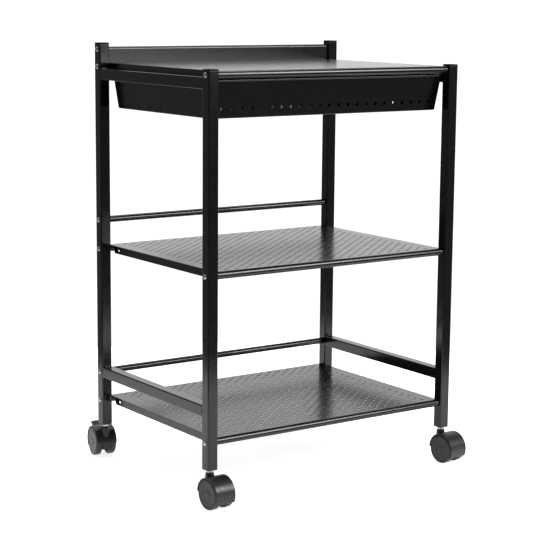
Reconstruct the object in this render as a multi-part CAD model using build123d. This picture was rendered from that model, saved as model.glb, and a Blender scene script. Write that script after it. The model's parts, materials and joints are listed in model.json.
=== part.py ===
from build123d import *
import math
import os

# Mobile printer stand: two welded side frames of square tube, three sheet-metal shelves,
# a rear guard, a pull-out drawer tray under the top shelf and four twin-wheel casters.
# Units are millimetres. +Z is up, -Y is the front, and the origin is on the floor under the
# middle of the stand.

# ---------- driving dimensions: frame ----------
FRAME_WIDTH = 508.0
FRAME_DEPTH = 362.0
TUBE = 19.0
TUBE_WALL = 1.2
TUBE_CORNER = 2.0
CASTER_HEIGHT = 60.0
FRONT_POST_TOP = 700.0
REAR_POST_TOP = 731.5
CAP_THICKNESS = 3.0
CAP_PLUG_DEPTH = 12.0
TOP_RAIL_CENTRE = 678.0
BOTTOM_RAIL_CENTRE = 156.0
REAR_TUBE_DIAMETER = 11.5
REAR_TUBE_HEIGHTS = {"rear_middle_tube": 426.0, "rear_bottom_tube": 156.0}

# ---------- driving dimensions: shelves and guard ----------
SHELF_TOPS = {"top_shelf": 697.0, "middle_shelf": 381.5, "bottom_shelf": 111.0}
SHEET = 1.0
BEAD_DIAMETER = 12.5
SIDE_FLANGE_HEIGHT = 13.0
SIDE_FLANGE_LENGTH = 304.0
SIDE_FLANGE_CORNER = 5.0
FLANGE_HOLE_DIAMETER = 5.0
FLANGE_HOLE_OFFSET = 136.0
PERFORATION_DIAMETER = 5.0
PERFORATION_PITCH_X = 20.8
PERFORATION_PITCH_Y = 17.8
PERFORATION_COLUMNS = 21
PERFORATION_ROWS = 19
GUARD_BEAD_DIAMETER = 9.0
GUARD_BEAD_HEIGHT = 720.0
GUARD_LIP = 7.0
SEAT_CLEARANCE = 0.3

# ---------- driving dimensions: drawer ----------
DRAWER_FLOOR = 620.6
DRAWER_FLOOR_WIDTH = 460.0
DRAWER_FLOOR_FRONT = -150.0
DRAWER_FLOOR_REAR = 142.0
DRAWER_RIM = 680.0
DRAWER_RIM_WIDTH = 467.6
DRAWER_WALL_SPREAD = 12.0
DRAWER_REAR_WALL_TOP = 670.0
DRAWER_HANGER_HEIGHT = 675.2
DRAWER_HANGER_WIDTH = 11.0
DRAWER_HANGER_FRONT = -155.0
DRAWER_HANGER_REAR = 147.7
DRAWER_HEM = 4.4
DRAWER_TRAVEL = 220.0
DRAWER_HOLE_DIAMETER = 6.0
DRAWER_HOLE_PITCH = 19.27
DRAWER_HOLE_COUNT = 23
DRAWER_HOLE_HEIGHT = 636.0
SIDE_HOLE_DIAMETER = 4.0
SIDE_HOLE_PITCH = 36.0
SIDE_HOLE_COUNT = 7
SIDE_HOLE_HEIGHT = 627.5
RUNNER_LENGTH = 300.0
RUNNER_LIP_TOP = 673.7
RUNNER_FLANGE_WIDTH = 16.0
RUNNER_WEB_X = 220.5
RUNNER_LIP_WIDTH = 10.0
RUNNER_SCREW_OFFSETS = (-110.0, 0.0, 110.0)
STOP_HEIGHT = 6.0
STOP_THICKNESS = 2.0
STOP_CLEARANCE = 0.3

# ---------- driving dimensions: fasteners ----------
SCREW_SHANK = 5.0
SCREW_HEAD = 8.4
SCREW_HEAD_HEIGHT = 2.0
SCREW_SOCKET = 3.0
SCREW_GRIP = 12.0
INSERT_LENGTH = 16.0
RUNNER_SCREW_SHANK = 3.0
RUNNER_SCREW_HEAD = 6.0

# ---------- driving dimensions: casters ----------
WHEEL_DIAMETER = 50.0
WHEEL_WIDTH = 11.0
WHEEL_GAP = 15.0
WHEEL_RIM = 4.5
WHEEL_DISC = 2.0
WHEEL_HUB_DIAMETER = 12.0
WHEEL_EDGE_ROUND = 1.6
AXLE_DIAMETER = 6.0
RUNNING_CLEARANCE = 0.05
CASTER_TRAIL = 18.0
HOOD_INNER_RADIUS = 25.6
HOOD_OUTER_RADIUS = 27.6
HOOD_FRONT_ANGLE = -28.0
HOOD_BACK_ANGLE = 180.0
HOUSING_CORE_WIDTH = 14.0
HOUSING_CORE_BOTTOM = 13.0
NECK_DIAMETER = 13.0
NECK_TOP = 56.0
STEM_DIAMETER = 8.0
STEM_BOTTOM = 30.0
STEM_LENGTH = 58.0
COLLAR_DIAMETER = 11.0
COLLAR_HEIGHT = 3.2
SOCKET_LENGTH = 34.0

# ---------- driving dimensions: brake ----------
BRAKE_PIVOT_RADIUS = 18.5
BRAKE_PIVOT_ANGLE = 62.0
BRAKE_PIN_DIAMETER = 3.0
BRAKE_LEVER_WIDTH = 8.6
BRAKE_LEVER_THICKNESS = 4.0
BRAKE_PEDAL_WIDTH = 22.0
BRAKE_PEDAL_LENGTH = 11.0
BRAKE_ARM_LENGTH = 13.5
BRAKE_LEVER_TILT = 30.0
BRAKE_POCKET_WIDTH = 9.6
BRAKE_POCKET_STEPS = 3
BRAKE_TRAVEL = 12.0

# ---------- worked out from them ----------
OUT_DIR = "parts"
HALF_TUBE = TUBE / 2
CUT_REACH = 2 * FRAME_WIDTH
POST_X = FRAME_WIDTH / 2 - HALF_TUBE
POST_Y = FRAME_DEPTH / 2 - HALF_TUBE
INNER_WIDTH = FRAME_WIDTH - 2 * TUBE
SHELF_WIDTH = INNER_WIDTH - 1.0
TUBE_BORE = TUBE - 2 * TUBE_WALL
TUBE_ROD_BORE = REAR_TUBE_DIAMETER - 2 * SHEET
BEAD_BORE = BEAD_DIAMETER - 2 * SHEET
GUARD_BEAD_BORE = GUARD_BEAD_DIAMETER - 2 * SHEET
GUARD_FACE = POST_Y - GUARD_BEAD_DIAMETER / 2
WHEEL_RADIUS = WHEEL_DIAMETER / 2
AXLE_HEIGHT = WHEEL_RADIUS
INNER_FACE = WHEEL_GAP / 2
OUTER_FACE = INNER_FACE + WHEEL_WIDTH
POSTS = {
    "front_left": (-POST_X, -POST_Y, FRONT_POST_TOP),
    "front_right": (POST_X, -POST_Y, FRONT_POST_TOP),
    "rear_left": (-POST_X, POST_Y, REAR_POST_TOP),
    "rear_right": (POST_X, POST_Y, REAR_POST_TOP),
}
# Direction in which each caster trails, in degrees from +Y, turning towards -X.
CASTER_HEADINGS = {
    "front_left": 183.0,
    "front_right": 185.0,
    "rear_left": -10.0,
    "rear_right": 6.0,
}
BRAKED_CASTERS = ("rear_left", "rear_right")


def save(shape, name):
    """Write one node to its STEP file."""
    shape.label = name
    export_step(shape, os.path.join(OUT_DIR, name + ".step"))


def block(x_range, y_range, z_range):
    """Box from its limits on the three axes."""
    low = (x_range[0], y_range[0], z_range[0])
    high = (x_range[1], y_range[1], z_range[1])
    size = [high[i] - low[i] for i in range(3)]
    middle = [(high[i] + low[i]) / 2 for i in range(3)]
    return Pos(*middle) * Box(*size)


def rod_x(diameter, x_range, y, z):
    """Round bar along X."""
    length = x_range[1] - x_range[0]
    centre = (x_range[0] + x_range[1]) / 2
    return Pos(centre, y, z) * Rot(0, 90, 0) * Cylinder(diameter / 2, length)


def rod_z(diameter, z_range, x=0.0, y=0.0):
    """Round bar along Z."""
    length = z_range[1] - z_range[0]
    return Pos(x, y, (z_range[0] + z_range[1]) / 2) * Cylinder(diameter / 2, length)


def square_tube(length):
    """Square tube along Z, from z = 0, with rounded outer and inner corners."""
    outer = extrude(RectangleRounded(TUBE, TUBE, TUBE_CORNER), length)
    inner = extrude(RectangleRounded(TUBE_BORE, TUBE_BORE, TUBE_CORNER - TUBE_WALL), length)
    return outer - inner


# ---------- side frames ----------
def post_screw_heights(name):
    """Heights of the screws that cross this post."""
    heights = [top - BEAD_DIAMETER / 2 for top in SHELF_TOPS.values()]
    if name.startswith("rear"):
        heights += list(REAR_TUBE_HEIGHTS.values())
        heights.append(GUARD_BEAD_HEIGHT)
    return heights


def make_post(name):
    x, y, top = POSTS[name]
    tube = Pos(x, y, CASTER_HEIGHT) * square_tube(top - CAP_THICKNESS - CASTER_HEIGHT)
    for height in post_screw_heights(name):
        tube -= rod_x(SCREW_SHANK, (x - TUBE, x + TUBE), y, height)
    return tube


def make_post_cap(name):
    """Moulded cap: a plate as wide as the tube, with a hollow plug notched for the top screw."""
    x, y, top = POSTS[name]
    plate = extrude(RectangleRounded(TUBE, TUBE, TUBE_CORNER), CAP_THICKNESS)
    plate = fillet(plate.faces().sort_by(Axis.Z)[-1].edges(), CAP_THICKNESS / 2)
    plug = extrude(RectangleRounded(TUBE_BORE, TUBE_BORE, TUBE_CORNER - TUBE_WALL), -CAP_PLUG_DEPTH)
    hollow = extrude(Rectangle(TUBE_BORE - 4, TUBE_BORE - 4), -CAP_PLUG_DEPTH)
    cap = plate + (plug - hollow)
    highest = max(post_screw_heights(name))
    clear = rod_x(SCREW_HEAD, (-TUBE, TUBE), 0, highest - top + CAP_THICKNESS)
    return Pos(x, y, top - CAP_THICKNESS) * (cap - clear)


def make_side_rail(side, height):
    length = FRAME_DEPTH - 2 * TUBE
    rail = Pos(0, length / 2, 0) * Rot(90, 0, 0) * square_tube(length)
    return Pos(side * POST_X, 0, height) * rail


def make_rear_tube(height):
    """Round tie tube between the rear posts."""
    reach = INNER_WIDTH / 2
    outer = rod_x(REAR_TUBE_DIAMETER, (-reach, reach), POST_Y, height)
    return outer - rod_x(TUBE_ROD_BORE, (-reach, reach), POST_Y, height)


# ---------- shelves ----------
def perforations():
    """Round holes in staggered rows: one grid, and a second one in the middle of its cells."""
    pitch = (PERFORATION_PITCH_X, PERFORATION_PITCH_Y)
    count = (PERFORATION_COLUMNS, PERFORATION_ROWS)
    places = GridLocations(*pitch, *count).locations
    places += GridLocations(*pitch, count[0] - 1, count[1] - 1).locations
    return [place * Circle(PERFORATION_DIAMETER / 2) for place in places]


def shelf_deck(perforated):
    """Flat deck sheet, top face at z = 0."""
    outline = Rectangle(SHELF_WIDTH, 2 * POST_Y)
    if perforated:
        outline = outline - perforations()
    return extrude(outline, -SHEET)


def shelf_bead(side):
    """Front or rear edge, rolled into a round bead whose top is level with the deck."""
    reach = SHELF_WIDTH / 2
    y = side * POST_Y
    z = -BEAD_DIAMETER / 2
    return rod_x(BEAD_DIAMETER, (-reach, reach), y, z) - rod_x(BEAD_BORE, (-reach, reach), y, z)


def shelf_side_flange(side):
    """Side edge, turned down, with a hole near each end and rounded lower corners."""
    face = Rectangle(SIDE_FLANGE_LENGTH, SIDE_FLANGE_HEIGHT, align=(Align.CENTER, Align.MAX))
    lower = face.vertices().sort_by(Axis.Y)[:2]
    face = fillet(lower, SIDE_FLANGE_CORNER)
    holes = [
        Pos(offset, -SIDE_FLANGE_HEIGHT / 2) * Circle(FLANGE_HOLE_DIAMETER / 2)
        for offset in (-FLANGE_HOLE_OFFSET, FLANGE_HOLE_OFFSET)
    ]
    sheet = extrude(Plane.YZ * (face - holes), SHEET / 2, both=True)
    return Pos(side * (SHELF_WIDTH / 2 - SHEET / 2), 0, 0) * sheet


def lower_guard_seat(deck):
    """Steps the rear strip of the top deck down by one sheet, so that the guard's lip lies flush."""
    reach = SHELF_WIDTH / 2
    front = GUARD_FACE - GUARD_LIP - SEAT_CLEARANCE
    deck -= block((-FRAME_WIDTH, FRAME_WIDTH), (front, FRAME_DEPTH), (-SHEET, SHEET))
    return deck + block((-reach, reach), (front - SHEET, POST_Y), (-2 * SHEET, -SHEET))


def make_shelf(name):
    deck = shelf_deck(perforated=name != "top_shelf")
    if name == "top_shelf":
        deck = lower_guard_seat(deck)
    cutters = [
        rod_x(BEAD_BORE, (-FRAME_WIDTH, FRAME_WIDTH), side * POST_Y, -BEAD_DIAMETER / 2)
        for side in (-1, 1)
    ]
    shelf = deck - cutters
    for side in (-1, 1):
        shelf += shelf_bead(side)
        shelf += shelf_side_flange(side)
    return Pos(0, 0, SHELF_TOPS[name]) * shelf


def make_rear_guard():
    """Low panel behind the top shelf, with a rolled top bead and a lip let into the shelf."""
    reach = SHELF_WIDTH / 2
    face = GUARD_FACE
    base = SHELF_TOPS["top_shelf"] - SHEET
    bore = rod_x(GUARD_BEAD_BORE, (-reach, reach), POST_Y, GUARD_BEAD_HEIGHT)
    panel = block((-reach, reach), (face, face + SHEET), (base, GUARD_BEAD_HEIGHT))
    lip = block((-reach, reach), (face - GUARD_LIP, face + SHEET), (base, base + SHEET))
    bead = rod_x(GUARD_BEAD_DIAMETER, (-reach, reach), POST_Y, GUARD_BEAD_HEIGHT)
    return panel + lip + bead - bore


# ---------- drawer ----------
def drawer_cup(shrink, floor):
    """Frustum of the drawer: outer form with shrink 0, or its cavity."""
    mid_y = (DRAWER_FLOOR_FRONT + DRAWER_FLOOR_REAR) / 2
    depth = DRAWER_FLOOR_REAR - DRAWER_FLOOR_FRONT - 2 * shrink
    width = DRAWER_FLOOR_WIDTH - 2 * shrink
    rim_width = DRAWER_RIM_WIDTH - 2 * shrink
    rim_depth = depth + 2 * DRAWER_WALL_SPREAD
    low = Pos(0, mid_y, DRAWER_FLOOR) * Rectangle(width, depth)
    high = Pos(0, mid_y, DRAWER_RIM) * Rectangle(rim_width, rim_depth)
    across = (-CUT_REACH, CUT_REACH)
    return loft([low, high]) & block(across, across, (floor, DRAWER_RIM))


def drawer_hangers():
    """Inward flange along each side wall, which the runner lips carry, with its stop tab."""
    top = DRAWER_HANGER_HEIGHT
    stop = -RUNNER_LENGTH / 2 + STOP_THICKNESS + DRAWER_TRAVEL + STOP_CLEARANCE
    rise = DRAWER_HANGER_HEIGHT - DRAWER_FLOOR
    slope = (DRAWER_RIM_WIDTH - DRAWER_FLOOR_WIDTH) / 2 / (DRAWER_RIM - DRAWER_FLOOR)
    wall = DRAWER_FLOOR_WIDTH / 2 + slope * rise - SHEET / 2
    inner = wall - DRAWER_HANGER_WIDTH
    pieces = []
    for side in (-1, 1):
        span = sorted((side * inner, side * wall))
        length = (DRAWER_HANGER_FRONT, DRAWER_HANGER_REAR)
        pieces.append(block(span, length, (top - SHEET, top)))
        tab = sorted((side * inner, side * (inner + 3)))
        tab_depth = (stop, stop + STOP_THICKNESS)
        pieces.append(block(tab, tab_depth, (top - SHEET, top + STOP_HEIGHT - 1)))
    return pieces


def drawer_holes():
    """Row of holes through the front and rear walls, and a row through the side walls."""
    span = DRAWER_FLOOR_REAR - DRAWER_FLOOR_FRONT + 8 * DRAWER_WALL_SPREAD
    cutters = []
    for i in range(DRAWER_HOLE_COUNT):
        x = (i - (DRAWER_HOLE_COUNT - 1) / 2) * DRAWER_HOLE_PITCH
        cutter = Cylinder(DRAWER_HOLE_DIAMETER / 2, span)
        cutters.append(Pos(x, 0, DRAWER_HOLE_HEIGHT) * Rot(90, 0, 0) * cutter)
    for i in range(SIDE_HOLE_COUNT):
        y = (i - (SIDE_HOLE_COUNT - 1) / 2) * SIDE_HOLE_PITCH
        cutters.append(rod_x(SIDE_HOLE_DIAMETER, (-FRAME_WIDTH, FRAME_WIDTH), y, SIDE_HOLE_HEIGHT))
    return cutters


def make_drawer_tray():
    tray = drawer_cup(0, DRAWER_FLOOR) - drawer_cup(SHEET, DRAWER_FLOOR + SHEET)
    across = (-CUT_REACH, CUT_REACH)
    side_front = DRAWER_HANGER_FRONT - SHEET
    tray -= block(across, (DRAWER_FLOOR_REAR, CUT_REACH), (DRAWER_REAR_WALL_TOP, CUT_REACH))
    tray -= block(across, (side_front, CUT_REACH), (DRAWER_HANGER_HEIGHT, CUT_REACH))
    for hanger in drawer_hangers():
        tray += hanger
    hem_y = DRAWER_FLOOR_FRONT - DRAWER_WALL_SPREAD - DRAWER_HEM / 2 + SHEET
    hem_reach = DRAWER_RIM_WIDTH / 2 - SHEET
    tray += rod_x(DRAWER_HEM, (-hem_reach, hem_reach), hem_y, DRAWER_RIM + SHEET)
    return tray - drawer_holes()


def make_drawer_runner(side):
    """Z-shaped runner under the top shelf, with a tab at each end that stops the drawer."""
    top = SHELF_TOPS["top_shelf"] - SHEET
    half = RUNNER_LENGTH / 2
    lip = RUNNER_LIP_TOP
    web = (RUNNER_WEB_X - SHEET, RUNNER_WEB_X)
    flange = (RUNNER_WEB_X - RUNNER_FLANGE_WIDTH, RUNNER_WEB_X)
    reach = (RUNNER_WEB_X - SHEET, RUNNER_WEB_X + RUNNER_LIP_WIDTH)
    tab = (RUNNER_WEB_X - SHEET, RUNNER_WEB_X + RUNNER_LIP_WIDTH / 2)
    tab_height = (DRAWER_HANGER_HEIGHT + 1, DRAWER_HANGER_HEIGHT + STOP_HEIGHT)
    runner = block(flange, (-half, half), (top - SHEET, top))
    runner += block(web, (-half, half), (lip - SHEET, top))
    runner += block(reach, (-half, half), (lip - SHEET, lip))
    runner += block(tab, (-half, -half + STOP_THICKNESS), tab_height)
    runner += block(reach, (half - STOP_THICKNESS, half), (lip - SHEET, lip + STOP_HEIGHT))
    for y in RUNNER_SCREW_OFFSETS:
        runner -= rod_z(RUNNER_SCREW_SHANK, (top - 3, top + 1), runner_screw_x(), y)
    return runner if side > 0 else mirror(runner, about=Plane.YZ)


def runner_screw_x():
    return RUNNER_WEB_X - SHEET - (RUNNER_FLANGE_WIDTH - SHEET) / 2


def make_runner_screws():
    """Pan-head rivet screws that hold both runners to the underside of the top shelf."""
    top = SHELF_TOPS["top_shelf"] - SHEET
    screws = []
    for side in (-1, 1):
        for y in RUNNER_SCREW_OFFSETS:
            x = side * runner_screw_x()
            head = rod_z(RUNNER_SCREW_HEAD, (top - SHEET - 2, top - SHEET), x, y)
            head = fillet(head.faces().sort_by(Axis.Z)[0].edges(), 0.8)
            shank = rod_z(RUNNER_SCREW_SHANK, (top - SHEET, top), x, y)
            screws.append(head + shank)
    return Compound(children=screws)


# ---------- fasteners ----------
def button_screw(side, y, z, shank_end):
    """Button-head screw along X, its head on the outer face of a post."""
    face = FRAME_WIDTH / 2
    head = Cylinder(SCREW_HEAD / 2, SCREW_HEAD_HEIGHT, align=(Align.CENTER, Align.CENTER, Align.MIN))
    head = fillet(head.faces().sort_by(Axis.Z)[-1].edges(), SCREW_HEAD_HEIGHT * 0.75)
    socket = extrude(Pos(0, 0, SCREW_HEAD_HEIGHT) * RegularPolygon(SCREW_SOCKET / 2, 6), -1.2)
    shank_length = face - shank_end
    shank = Cylinder(SCREW_SHANK / 2, shank_length, align=(Align.CENTER, Align.CENTER, Align.MAX))
    screw = Pos(face, y, z) * Rot(0, 90, 0) * (head - socket + shank)
    return screw if side > 0 else mirror(screw, about=Plane.YZ)


def screw_set(places):
    """One screw at each (y, z) on the left and on the right."""
    end = INNER_WIDTH / 2 - SCREW_GRIP
    screws = [button_screw(side, y, z, end) for side in (-1, 1) for y, z in places]
    return Compound(children=screws)


def shelf_screw_places():
    return [(y, top - BEAD_DIAMETER / 2) for y in (-POST_Y, POST_Y) for top in SHELF_TOPS.values()]


def insert_set(places, outer):
    """Threaded steel bushes pressed into both ends of the tubes at these (y, z) places."""
    bushes = []
    outer_end = SHELF_WIDTH / 2
    for side in (-1, 1):
        for y, z in places:
            span = sorted((side * outer_end, side * (outer_end - INSERT_LENGTH)))
            bushes.append(rod_x(outer, span, y, z) - rod_x(SCREW_SHANK, span, y, z))
    return Compound(children=bushes)


# ---------- casters, built with the stem on the Z axis and the axle towards +Y ----------
def place_caster(shape, name):
    x, y, _ = POSTS[name]
    return Pos(x, y, 0) * Rot(0, 0, CASTER_HEADINGS[name]) * shape


def hood_shell():
    """Arched cover over both wheels, as wide as the wheel pair."""
    sweep = HOOD_BACK_ANGLE - HOOD_FRONT_ANGLE
    outer = CenterArc((0, 0), HOOD_OUTER_RADIUS, HOOD_FRONT_ANGLE, sweep)
    inner = CenterArc((0, 0), HOOD_INNER_RADIUS, HOOD_FRONT_ANGLE, sweep)
    ends = [Line(outer @ t, inner @ t) for t in (0, 1)]
    face = Plane.YZ * make_face([outer, inner, *ends])
    return Pos(0, CASTER_TRAIL, AXLE_HEIGHT) * extrude(face, OUTER_FACE, both=True)


def make_housing(braked):
    shell = hood_shell()
    core = Rot(0, 90, 0) * Cylinder(HOOD_INNER_RADIUS + 0.2, HOUSING_CORE_WIDTH)
    core = Pos(0, CASTER_TRAIL, AXLE_HEIGHT) * core
    core = core & block((-50, 50), (-50, 90), (HOUSING_CORE_BOTTOM, 90))
    neck = rod_z(NECK_DIAMETER, (HOUSING_CORE_BOTTOM, NECK_TOP))
    housing = shell + core + neck
    housing -= rod_x(AXLE_DIAMETER, (-50, 50), CASTER_TRAIL, AXLE_HEIGHT)
    housing -= rod_z(STEM_DIAMETER, (STEM_BOTTOM, NECK_TOP + 1))
    if braked:
        housing -= brake_pocket()
        housing -= brake_pin()
    return housing


def make_stem():
    """Steel grip stem with a collar and a grooved, chamfered top."""
    stem = rod_z(STEM_DIAMETER, (STEM_BOTTOM, STEM_BOTTOM + STEM_LENGTH))
    stem = chamfer(stem.faces().sort_by(Axis.Z)[-1].edges(), 1.0)
    stem += rod_z(COLLAR_DIAMETER, (NECK_TOP, NECK_TOP + COLLAR_HEIGHT))
    groove_z = STEM_BOTTOM + STEM_LENGTH - 8
    ring = rod_z(STEM_DIAMETER + 2, (groove_z, groove_z + 2))
    return stem - (ring - rod_z(STEM_DIAMETER - 1.2, (groove_z, groove_z + 2)))


def make_socket(name):
    """Moulded socket in the foot of a post, bored to let the stem turn."""
    x, y, _ = POSTS[name]
    plug = extrude(RectangleRounded(TUBE_BORE, TUBE_BORE, TUBE_CORNER - TUBE_WALL), SOCKET_LENGTH)
    bore = STEM_DIAMETER + 2 * RUNNING_CLEARANCE
    plug -= Cylinder(bore / 2, 3 * SOCKET_LENGTH)
    return Pos(x, y, CASTER_HEIGHT) * plug


def make_axle():
    reach = OUTER_FACE - WHEEL_DISC - 0.4
    return rod_x(AXLE_DIAMETER, (-reach, reach), CASTER_TRAIL, AXLE_HEIGHT)


def make_wheel(side):
    """Cup-shaped wheel, turned about the axle: closed outer face, rim and bored hub."""
    inner = INNER_FACE
    outer = OUTER_FACE
    web = outer - WHEEL_DISC
    rim_inner = WHEEL_RADIUS - WHEEL_RIM
    hub = WHEEL_HUB_DIAMETER / 2
    bore = AXLE_DIAMETER / 2 + RUNNING_CLEARANCE
    points = [
        (inner, WHEEL_RADIUS), (outer, WHEEL_RADIUS), (outer, 0), (web, 0), (web, bore),
        (inner, bore), (inner, hub), (web, hub), (web, rim_inner), (inner, rim_inner),
    ]
    outline = make_face(Polyline(*points, close=True))
    rounded = [v for v in outline.vertices() if abs(v.Y - WHEEL_RADIUS) < 0.01]
    outline = fillet(rounded, WHEEL_EDGE_ROUND)
    wheel = revolve(outline, Axis.X)
    wheel = Pos(0, CASTER_TRAIL, AXLE_HEIGHT) * wheel
    return wheel if side > 0 else mirror(wheel, about=Plane.YZ)


# ---------- brake of a rear caster ----------
def brake_pivot():
    angle = math.radians(BRAKE_PIVOT_ANGLE)
    y = CASTER_TRAIL + BRAKE_PIVOT_RADIUS * math.cos(angle)
    z = AXLE_HEIGHT + BRAKE_PIVOT_RADIUS * math.sin(angle)
    return y, z


def brake_pin():
    y, z = brake_pivot()
    reach = HOUSING_CORE_WIDTH / 2
    return rod_x(BRAKE_PIN_DIAMETER, (-reach, reach), y, z)


def brake_pocket():
    """Slot in the housing that the lever swings in, with a mouth through the hood."""
    y, z = brake_pivot()
    half = BRAKE_POCKET_WIDTH / 2
    rise = BRAKE_LEVER_THICKNESS / 2 + 0.6
    mouth_half = BRAKE_PEDAL_WIDTH / 2 + 0.8
    mouth_span = (BRAKE_ARM_LENGTH - 3.2, BRAKE_ARM_LENGTH + 2 * BRAKE_PEDAL_LENGTH)
    cutter = rod_x(BRAKE_LEVER_THICKNESS + 3.2, (-half, half), 0, 0)
    for step in range(BRAKE_POCKET_STEPS + 1):
        slot = block((-half, half), (0, mouth_span[1]), (-rise, rise))
        mouth = block((-mouth_half, mouth_half), mouth_span, (-rise, rise))
        turn = -BRAKE_TRAVEL * step / BRAKE_POCKET_STEPS
        cutter += Rot(turn, 0, 0) * (slot + mouth)
    return Pos(0, y, z) * Rot(BRAKE_LEVER_TILT, 0, 0) * cutter


def make_brake_lever():
    """Rocking pedal: a bored arm inside the housing and a wide toe pad outside it."""
    y, z = brake_pivot()
    half = BRAKE_LEVER_WIDTH / 2
    thick = BRAKE_LEVER_THICKNESS / 2
    arm = block((-half, half), (0, BRAKE_ARM_LENGTH), (-thick, thick))
    arm += rod_x(BRAKE_LEVER_THICKNESS + 1.6, (-half, half), 0, 0)
    pad_half = BRAKE_PEDAL_WIDTH / 2
    pad_span = (BRAKE_ARM_LENGTH - 2, BRAKE_ARM_LENGTH + BRAKE_PEDAL_LENGTH)
    pad = block((-pad_half, pad_half), pad_span, (-thick + 1, thick))
    pad = fillet(pad.edges().filter_by(Axis.Z), 1.5)
    lever = arm + pad
    lever -= rod_x(BRAKE_PIN_DIAMETER + 2 * RUNNING_CLEARANCE, (-half - 1, half + 1), 0, 0)
    return Pos(0, y, z) * Rot(BRAKE_LEVER_TILT, 0, 0) * lever


def build_frame():
    for name in POSTS:
        save(make_post(name), name + "_post")
        save(make_post_cap(name), name + "_cap")
        save(make_socket(name), name + "_caster_socket")
    for side, side_name in ((-1, "left"), (1, "right")):
        save(make_side_rail(side, TOP_RAIL_CENTRE), side_name + "_top_rail")
        save(make_side_rail(side, BOTTOM_RAIL_CENTRE), side_name + "_bottom_rail")
    for name, height in REAR_TUBE_HEIGHTS.items():
        save(make_rear_tube(height), name)
    for name in SHELF_TOPS:
        save(make_shelf(name), name)
    save(make_rear_guard(), "rear_guard")


def build_fasteners():
    tube_places = [(POST_Y, height) for height in REAR_TUBE_HEIGHTS.values()]
    guard_places = [(POST_Y, GUARD_BEAD_HEIGHT)]
    save(screw_set(shelf_screw_places()), "shelf_screws")
    save(screw_set(tube_places), "rear_tube_screws")
    save(screw_set(guard_places), "guard_screws")
    save(insert_set(shelf_screw_places(), BEAD_BORE), "shelf_inserts")
    save(insert_set(tube_places, TUBE_ROD_BORE), "rear_tube_inserts")
    save(insert_set(guard_places, GUARD_BEAD_BORE), "guard_inserts")
    save(make_runner_screws(), "runner_screws")


def build_drawer():
    save(make_drawer_tray(), "drawer_tray")
    save(make_drawer_runner(-1), "left_drawer_runner")
    save(make_drawer_runner(1), "right_drawer_runner")


def build_casters():
    for name in POSTS:
        braked = name in BRAKED_CASTERS
        pieces = {
            "housing": make_housing(braked),
            "stem": make_stem(),
            "axle": make_axle(),
            "left_wheel": make_wheel(-1),
            "right_wheel": make_wheel(1),
        }
        if braked:
            pieces["brake_lever"] = make_brake_lever()
            pieces["brake_pin"] = brake_pin()
        for piece, shape in pieces.items():
            save(place_caster(shape, name), name + "_caster_" + piece)


os.makedirs(OUT_DIR, exist_ok=True)
build_frame()
build_fasteners()
build_drawer()
build_casters()
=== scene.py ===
import bmesh
import bpy
import json
import math
from mathutils import Matrix, Quaternion, Vector


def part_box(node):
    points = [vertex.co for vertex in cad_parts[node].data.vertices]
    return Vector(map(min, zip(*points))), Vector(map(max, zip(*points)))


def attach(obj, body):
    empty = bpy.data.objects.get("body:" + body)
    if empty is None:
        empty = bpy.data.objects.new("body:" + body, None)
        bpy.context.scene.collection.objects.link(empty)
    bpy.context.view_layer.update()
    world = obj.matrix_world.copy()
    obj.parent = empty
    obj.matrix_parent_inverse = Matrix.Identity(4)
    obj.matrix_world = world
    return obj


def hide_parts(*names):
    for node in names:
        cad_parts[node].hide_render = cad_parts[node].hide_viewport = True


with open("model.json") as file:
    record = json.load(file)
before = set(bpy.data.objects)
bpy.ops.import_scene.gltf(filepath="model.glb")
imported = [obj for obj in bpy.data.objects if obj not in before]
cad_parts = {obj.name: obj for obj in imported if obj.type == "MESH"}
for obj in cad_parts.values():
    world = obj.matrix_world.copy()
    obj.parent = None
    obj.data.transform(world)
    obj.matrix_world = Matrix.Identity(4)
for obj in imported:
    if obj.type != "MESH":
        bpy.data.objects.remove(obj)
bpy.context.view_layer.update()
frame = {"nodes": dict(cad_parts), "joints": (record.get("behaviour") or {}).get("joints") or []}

MM = 0.001

# ---------- sizes read from the frame ----------
CORNERS = ("front_left", "front_right", "rear_left", "rear_right")
SHELVES = ("top_shelf", "middle_shelf", "bottom_shelf")
POST_BOX = {name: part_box(name + "_post") for name in CORNERS}
CAP_BOX = {name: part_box(name + "_cap") for name in CORNERS}
SHELF_BOX = {name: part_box(name) for name in SHELVES}
TUBE = POST_BOX["front_left"][1].x - POST_BOX["front_left"][0].x
POST_X = (POST_BOX["front_right"][0].x + POST_BOX["front_right"][1].x) / 2
POST_Y = (POST_BOX["rear_left"][0].y + POST_BOX["rear_left"][1].y) / 2
POST_FACE = POST_X + TUBE / 2
JOINTS = {joint["name"]: joint for joint in frame["joints"]}

# ---------- sizes of the sheet and tube work ----------
TUBE_CORNER = 2.0 * MM
TUBE_WALL = 1.2 * MM
RIM_ROUND = 0.35 * MM
SHEET = 1.0 * MM
SHEET_EDGE = 0.28 * MM
BEAD = 12.5 * MM
GUARD_BEAD = 9.0 * MM
SEAT_CLEARANCE = 0.3 * MM
HOLE_EDGE = 0.1 * MM
FLANGE_LENGTH = 304.0 * MM
FLANGE_HEIGHT = 13.0 * MM
FLANGE_CORNER = 5.0 * MM
FLANGE_HOLE = 5.0 * MM
FLANGE_HOLE_OFFSET = 136.0 * MM
HOLE = 5.0 * MM
HOLE_PITCH = (20.8 * MM, 17.8 * MM)
HOLE_COUNT = (21, 19)
WELD = 1.7 * MM
WELD_RINGS = 22
SCREW_HEAD = 8.4 * MM
SCREW_HEIGHT = 2.0 * MM
SCREW_SHANK = 5.0 * MM
SCREW_LENGTH = 31.0 * MM
SCREW_HEXAGON = 1.55 * MM
SCREW_STEPS = 36

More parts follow.
